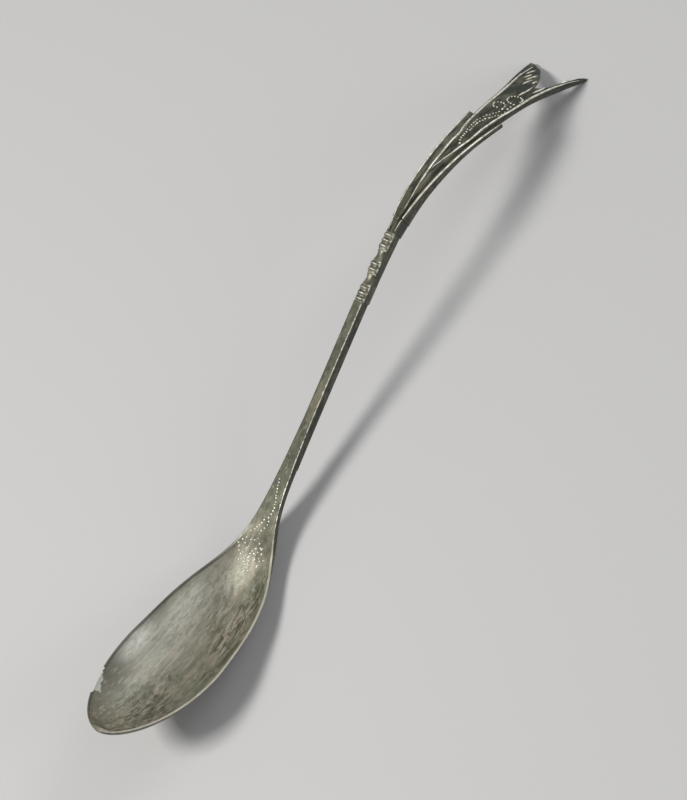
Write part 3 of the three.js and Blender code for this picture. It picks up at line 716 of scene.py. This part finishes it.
bpy.ops.object.shade_smooth_by_angle(angle=math.radians(30))
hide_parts("stem")
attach(stem, "root")

# %% [markdown]
# ## Collar
# Three groups of fine ridges with a waisted reel between each. Each start is drawn out by the width of
# the solder gap so that neighbours meet in a hairline, as soldered mouldings do.

# %% Collar mouldings
COLLAR_STARTS = {"lower_collar": 135.3, "lower_reel": 140.1, "middle_collar": 143.3,
                 "upper_reel": 146.6, "upper_collar": 149.8}
COLLAR_LENGTHS = {"lower_collar": 4.5, "lower_reel": 2.9, "middle_collar": 3.0, "upper_reel": 2.9,
                  "upper_collar": 4.5}
SOLDER_GAP = 0.3
rings = []
for node, start in COLLAR_STARTS.items():
    ring = welded_copy(node, "silver_" + node)
    stretch_end(ring, start, 0 if node == "lower_collar" else -SOLDER_GAP)
    stretch_end(ring, start + COLLAR_LENGTHS[node], 0)
    round_off(ring, 2)
    mark_arris(ring, *mark_surface(ring))
    ring.data.materials.append(collar_silver)
    only(ring)
    bpy.ops.object.shade_smooth_by_angle(angle=math.radians(45))
    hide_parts(node)
    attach(ring, "root")
    rings.append(ring)

# %% [markdown]
# ## Finial
# A long leaf splits into two lobes, with a sepal along each side. Ribs run up the leaf and part near
# its middle.

# %% Leaf and sepals
def close_side(piece, towards, by):
    """Moves the faces that look towards one side (+1 left, -1 right) that way, by a distance in mm."""
    only(piece)
    for v in piece.data.vertices:
        v.select = False
    for e in piece.data.edges:
        e.select = False
    for p in piece.data.polygons:
        p.select = p.normal.y * towards > 0.7
    moved = sum(p.select for p in piece.data.polygons)
    bpy.ops.object.mode_set(mode="EDIT")
    bpy.ops.mesh.select_mode(type="FACE")
    bpy.ops.transform.translate(value=(0, towards * by * MM, 0))
    bpy.ops.mesh.select_mode(type="VERT")
    bpy.ops.object.mode_set(mode="OBJECT")
    print(piece.name, "moved", moved, "faces")


blades = {}
for node, name, start in (("finial_leaf", "forked_leaf", 154.6), ("left_sepal", "sepal_left", 158.9),
                          ("right_sepal", "sepal_right", 158.9)):
    blade = welded_copy(node, name)
    crease_sharp(blade, 40, 0.75)
    stretch_end(blade, start, -SOLDER_GAP)
    if node != "finial_leaf":
        close_side(blade, -1 if node == "left_sepal" else 1, 0.24)
    round_off(blade, 2)
    mark_surface(blade)
    blade.data.materials.append(finial_silver)
    only(blade)
    bpy.ops.object.shade_smooth_by_angle(angle=math.radians(40))
    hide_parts(node)
    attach(blade, "root")
    blades[name] = blade

# %% [markdown]
# ## Raised ribs
# On the real finial the ribs stand up as thin ridges and are rubbed bright along their whole length.
# Each one is a curve laid on the metal, with a round section that tapers to its ends and sits half in
# the surface. A ray dropped from above the top line finds the surface under each point.

# %% Drop points onto the metal
def surface_of(*pieces):
    """A search tree over the faces of some pieces."""
    points, faces = [], []
    for piece in pieces:
        first = len(points)
        points += [v.co.copy() for v in piece.data.vertices]
        faces += [[first + i for i in p.vertices] for p in piece.data.polygons]
    return BVHTree.FromPolygons(points, faces)


def drop(metal, distance, left):
    """Where a point above the top line lands on the metal, and the surface's direction there."""
    slope = line_at(distance)[2]
    down = Vector((math.sin(slope), 0, -math.cos(slope)))
    place, normal, face, gap = metal.ray_cast(spot(distance, left, 6), down)
    return place, normal


finial_metal = surface_of(*blades.values())
print("leaf surface at 200 mm:", [round(v * 1000, 1) for v in drop(finial_metal, 200, 0)[0]])


# %% Lay a rib
def smooth_path(path, step):
    """Points a step apart (mm) along a smooth curve through (distance, left) pairs."""
    path = np.array(path, dtype=float)
    length = np.concatenate(([0], np.cumsum(np.linalg.norm(np.diff(path, axis=0), axis=1))))
    places = np.linspace(0, length[-1], max(int(length[-1] / step), 4))
    found = np.stack([np.interp(places, length, path[:, k]) for k in (0, 1)], axis=1)
    for _ in range(6):
        found[1:-1] = (found[:-2] + 2 * found[1:-1] + found[2:]) / 4
    return found


def lay_rib(name, metal, path, width, sink=0.35, step=0.5):
    """A raised rib of a width in mm along a path of (distance, left) pairs."""
    points = []
    for distance, left in smooth_path(path, step):
        place, normal = drop(metal, distance, left)
        if place is not None:
            points.append(place + normal * width * (0.5 - sink) * MM)
    curve = bpy.data.curves.new(name, "CURVE")
    curve.dimensions = "3D"
    curve.bevel_depth = width / 2 * MM
    curve.bevel_resolution = 2
    curve.use_fill_caps = True
    spline = curve.splines.new("POLY")
    spline.points.add(len(points) - 1)
    for i, point in enumerate(points):
        taper = min(1.0, 0.25 + 4.0 * min(i, len(points) - 1 - i) / len(points))
        spline.points[i].co = (*point, 1.0)
        spline.points[i].radius = taper
    rib = bpy.data.objects.new(name, curve)
    bpy.context.scene.collection.objects.link(rib)
    only(rib)
    bpy.ops.object.convert(target="MESH")
    rib = bpy.context.active_object
    bpy.ops.object.shade_smooth()
    return rib


def join_as(name, parts):
    """Joins small parts into one piece with the bright worn finish."""
    bpy.ops.object.select_all(action="DESELECT")
    for part in parts:
        part.select_set(True)
    bpy.context.view_layer.objects.active = parts[0]
    if len(parts) > 1:
        bpy.ops.object.join()
    piece = bpy.context.active_object
    piece.name = name
    bpy.ops.object.transform_apply(location=True, rotation=True, scale=True)
    piece.data.materials.clear()
    piece.data.materials.append(rubbed_silver)
    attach(piece, "root")
    print(name, "has", len(piece.data.polygons), "faces")
    return piece


# %% Ribs of the leaf and the sepals
LEAF_RIBS = {
    "leaf_rib_left": [(161.5, -0.3), (166.7, -0.1), (172, 0.4), (176.7, 1.0), (180, 1.0), (185, 1.4),
                      (190, 1.7), (196, 2.7), (202, 3.1), (207, 3.5), (212, 3.7), (218, 4.3), (225, 5.4),
                      (228, 5.6), (232.7, 6.0)],
    "leaf_rib_right": [(175.5, 0.2), (181.5, -1.0), (189, -2.0), (198, -2.4), (206, -3.3), (215, -3.9),
                       (223, -4.9), (230.6, -6.4), (234, -7.3)],
    "lobe_rib": [(218.5, -2.5), (220.9, -3.1), (223.7, -3.2), (226.9, -3.7), (227.8, -4.2)],
    "lobe_tip_rib": [(229, -4.9), (232, -5.7), (234.8, -6.5)],
}
SEPAL_RIBS = {
    "sepal_rib_left": [(155, 0.95), (158, 1.15), (160, 1.5), (164, 1.9), (168, 2.27), (172, 2.57),
                       (178, 3.05), (186, 3.7), (194, 4.3), (199.6, 4.75)],
    "sepal_rib_right": [(155, -0.95), (158, -1.15), (160, -1.5), (164, -1.9), (168, -2.27), (172, -2.57),
                        (178, -3.05), (186, -3.7), (194, -4.3), (199.6, -4.75)],
}
ribs = [lay_rib(name, finial_metal, path, 0.58) for name, path in LEAF_RIBS.items()]
ribs += [lay_rib(name, finial_metal, path, 0.5) for name, path in SEPAL_RIBS.items()]
join_as("worn_ribs", ribs)

# %% Rubbed crests of the collar
RIDGE_PITCH = 1.5
CREST_HALF_WIDTH = 0.9
CREST_WIDTH = 0.3
collar_metal = surface_of(*rings)
crests = []
for node, count in (("lower_collar", 3), ("middle_collar", 2), ("upper_collar", 3)):
    for i in range(count):
        crest = COLLAR_STARTS[node] + RIDGE_PITCH * (i + 0.5)
        path = [(crest, CREST_HALF_WIDTH), (crest, 0), (crest - 0.05, -CREST_HALF_WIDTH + 0.1)]
        crest_name = "crest_%d" % len(crests)
        crests.append(lay_rib(crest_name, collar_metal, path, CREST_WIDTH, sink=0.5, step=0.15))
join_as("collar_crests", crests)

# %% [markdown]
# ## Flutes on the left lobe
# The left lobe ends in short flutes whose crests catch the light. They are laid like the ribs, only
# shorter and a little finer.

# %% Flutes
FLUTES = [[(224.9, 4.0), (226.6, 3.8), (228.2, 3.6)],
          [(221.2, 2.3), (222.9, 2.1), (225.6, 1.8)],
          [(214.9, -0.4), (216.7, -0.5), (219.3, -0.9), (221.6, -0.6)],
          [(224.2, 3.0), (226.4, 2.6), (228.6, 2.2)],
          [(227.6, 4.9), (229.6, 4.7), (231.4, 4.4)],
          [(223.4, 0.6), (225.0, 0.4), (226.2, 0.3)]]
flutes = [lay_rib("flute_%d" % i, finial_metal, path, 0.48) for i, path in enumerate(FLUTES)]
join_as("lobe_flutes", flutes)

# %% [markdown]
# ## Punched dots
# Rows of small dots were struck with a round punch: a double line that winds up the leaf and curls into
# two volutes, and a stalk with a flower where the neck opens into the bowl. Each dot is a low dome half
# a millimetre across. One dome is made and copied, each copy with its own mesh.

# %% Make one dot and copy it
bpy.ops.object.select_all(action="DESELECT")
bpy.ops.mesh.primitive_uv_sphere_add(segments=8, ring_count=5, radius=0.5 * MM, location=(0, 0, 0))
first_dot = bpy.context.active_object
first_dot.name = "punched_dot"
bpy.ops.object.shade_smooth()


hand = np.random.default_rng(7)


def punch(metal, places, width, height, unsteady=0.06):
    """Copies of the dot, laid on the metal at (distance, left) places; sizes in mm."""
    dots = []
    for distance, left in places:
        distance, left = distance + hand.normal(0, unsteady), left + hand.normal(0, unsteady)
        place, normal = drop(metal, distance, left)
        if place is None:
            continue
        dot = first_dot.copy()
        dot.data = first_dot.data.copy()
        bpy.context.scene.collection.objects.link(dot)
        grown = float(hand.uniform(0.85, 1.15))
        size = Matrix.Diagonal((width * grown, width * grown, height * 2 * grown, 1.0))
        upright = normal.to_track_quat("Z", "Y").to_matrix().to_4x4()
        dot.matrix_world = Matrix.Translation(place) @ upright @ size
        dots.append(dot)
    return dots


# %% Dots of the leaf
STALK = [(187, -0.5), (188.2, 0.2), (189.2, 0.4), (190.2, 0.5), (191, 0.7), (192, 0.8)]
LEFT_ROW = [(193.2, 1.2), (194.2, 1.3), (195.3, 1.35), (196.5, 1.45), (197.4, 1.45), (198.2, 1.4),
            (199.2, 1.15), (200.4, 1.0), (201.5, 0.7), (202.2, 0.1), (203.2, -0.3), (204, -0.6),
            (204.9, -0.95)]
RIGHT_ROW = [(193.2, 0.3), (194, 0.5), (195, 0.6), (195.9, 0.5), (196.9, 0.6), (198, 0.5), (198.8, 0.2),
             (199.8, 0), (200.8, -0.6), (201.6, -0.9), (202.5, -1.3), (203.2, -1.8), (204, -2.1),
             (205.6, -2.3)]


def curl(centre, radius, start, sweep, count, tighten):
    """Places along a curl: angles in degrees, the radius falling by a share to the end."""
    found = []
    for i in range(count):
        share = i / (count - 1)
        angle = math.radians(start + sweep * share)
        reach = radius * (1 - tighten * share)
        found.append((centre[0] + reach * math.cos(angle), centre[1] + reach * math.sin(angle)))
    return found


left_volute = curl((207.6, 1.0), 1.9, -110, 300, 11, 0.35)
right_volute = curl((212.6, -1.1), 2.4, 200, -300, 14, 0.3)
joining = [(206.4, -0.8), (207.2, -1.9), (208.6, -2.0), (210.0, -2.0)]
leaf_places = STALK + LEFT_ROW + RIGHT_ROW + left_volute + right_volute + joining
leaf_dots = punch(finial_metal, leaf_places, 0.52, 0.16)
join_as("leaf_dots", leaf_dots)

# %% Dots of the neck
bowl_metal = surface_of(bowl)
NECK_ROW = [(86.5, 0.6), (85.6, 0.45), (84.8, 0.3), (84, 0.1), (83.2, -0.1), (82.4, -0.3), (81.7, -0.6),
            (80.9, -0.75), (80.2, -0.85), (79.4, -1.0), (78.5, -1.05), (77.6, -0.85), (76.5, -0.5)]
NECK_LEFT = [(75.5, 0.3), (74.6, 0.7), (73.9, 1.0), (73.1, 1.4), (72.3, 1.9), (71.6, 2.8), (71, 3.9)]
NECK_RIGHT = [(75.5, -1.0), (74.7, -0.9), (73.6, -0.5), (72.6, 0.1), (71.6, 0.3), (70.5, 0.3)]
FLOWER = curl((66.6, 0.9), 3.0, 0, 330, 14, 0.0) + curl((66.2, 0.9), 1.8, 20, 320, 9, 0.0)
FLOWER += [(66.4, 0.9), (65.6, 1.2)]
FLOWER += [(68.8, -1.6), (68.2, -2.2), (67.2, -2.6), (66.2, -2.7), (65.1, -2.4), (64.4, -1.7)]
FLOWER += [(69.6, 3.2), (68.8, 4.1), (67.6, 4.6), (66.3, 4.5), (65.2, 4.0)]
FLOWER += [(63.4, 0.3), (62.9, 1.2), (63.2, 2.4)]
FLOWER += curl((66.0, 0.6), 1.0, 60, 300, 6, 0.0) + curl((64.2, 0.6), 1.7, 120, 180, 6, 0.0)
neck_dots = punch(bowl_metal, NECK_ROW + NECK_LEFT + NECK_RIGHT, 0.5, 0.1)
neck_dots += punch(bowl_metal, FLOWER, 0.55, 0.14, 0.3)
join_as("neck_dots", neck_dots)
bpy.data.objects.remove(first_dot, do_unlink=True)
